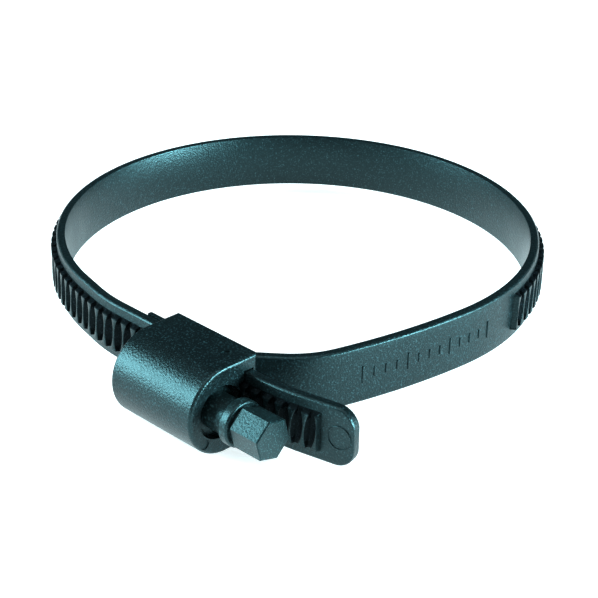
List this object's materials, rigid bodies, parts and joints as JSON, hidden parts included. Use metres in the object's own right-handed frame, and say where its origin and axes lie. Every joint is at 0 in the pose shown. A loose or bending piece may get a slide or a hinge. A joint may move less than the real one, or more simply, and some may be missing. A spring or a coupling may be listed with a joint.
{
  "type": "hose clamp",
  "caption": "Plastic worm-drive hose clamp: toothed band closed by a hex-head worm screw in a moulded housing.",
  "frame": {"origin": "centre of the loop's round part, at mid-width", "axes": "+Z along the hose's axis; +X along the worm, towards its hexagon head; -Y towards the housing"},
  "size_m": [0.1235, 0.1273, 0.019],
  "materials": {
    "band_nylon": "satin",
    "screw_nylon": "satin"
  },
  "bodies": {
    "housing": {"housing": "band_nylon", "strap_root": "band_nylon"},
    "screw": {"worm_screw": "screw_nylon"},
    "band_1": {"band_1": "band_nylon"},
    "band_2": {"band_2": "band_nylon"},
    "band_3": {"band_3": "band_nylon"},
    "band_4": {"band_4": "band_nylon"},
    "tail": {"band_tail": "band_nylon"}
  },
  "joints": [
    {"name": "screw_turn", "type": "hinge", "parent": "housing", "child": "screw", "pos_m": [0.031, -0.06262, 0], "axis": [-1, 0, 0], "range_deg": [-360, 720]},
    {"name": "flexure_1", "type": "hinge", "parent": "housing", "child": "band_1", "pos_m": [0.05399, 0.00472, 0], "axis": [0, 0, 1], "range_deg": [-0.283, 0.147]},
    {"name": "flexure_2", "type": "hinge", "parent": "band_1", "child": "band_2", "pos_m": [0.01729, 0.05137, 0], "axis": [0, 0, 1], "range_deg": [-1.16, 2.3]},
    {"name": "flexure_3", "type": "hinge", "parent": "band_2", "child": "band_3", "pos_m": [-0.03821, 0.03844, 0], "axis": [0, 0, 1], "range_deg": [-0.73, 1.46]},
    {"name": "flexure_4", "type": "hinge", "parent": "band_3", "child": "band_4", "pos_m": [-0.05045, -0.0198, 0], "axis": [0, 0, 1], "range_deg": [-0.301, 0.155]},
    {"name": "flexure_5", "type": "hinge", "parent": "band_4", "child": "tail", "pos_m": [-0.00495, -0.05448, 0], "axis": [0, 0, 1], "range_deg": [-3.18, 1.6]}
  ],
  "couplings": [
    {"joint": "flexure_1", "follows": "screw_turn", "ratio": -0.00037208},
    {"joint": "flexure_2", "follows": "screw_turn", "ratio": 0.0031202},
    {"joint": "flexure_3", "follows": "screw_turn", "ratio": 0.0019689},
    {"joint": "flexure_4", "follows": "screw_turn", "ratio": -0.00039617},
    {"joint": "flexure_5", "follows": "screw_turn", "ratio": -0.0043209}
  ]
}
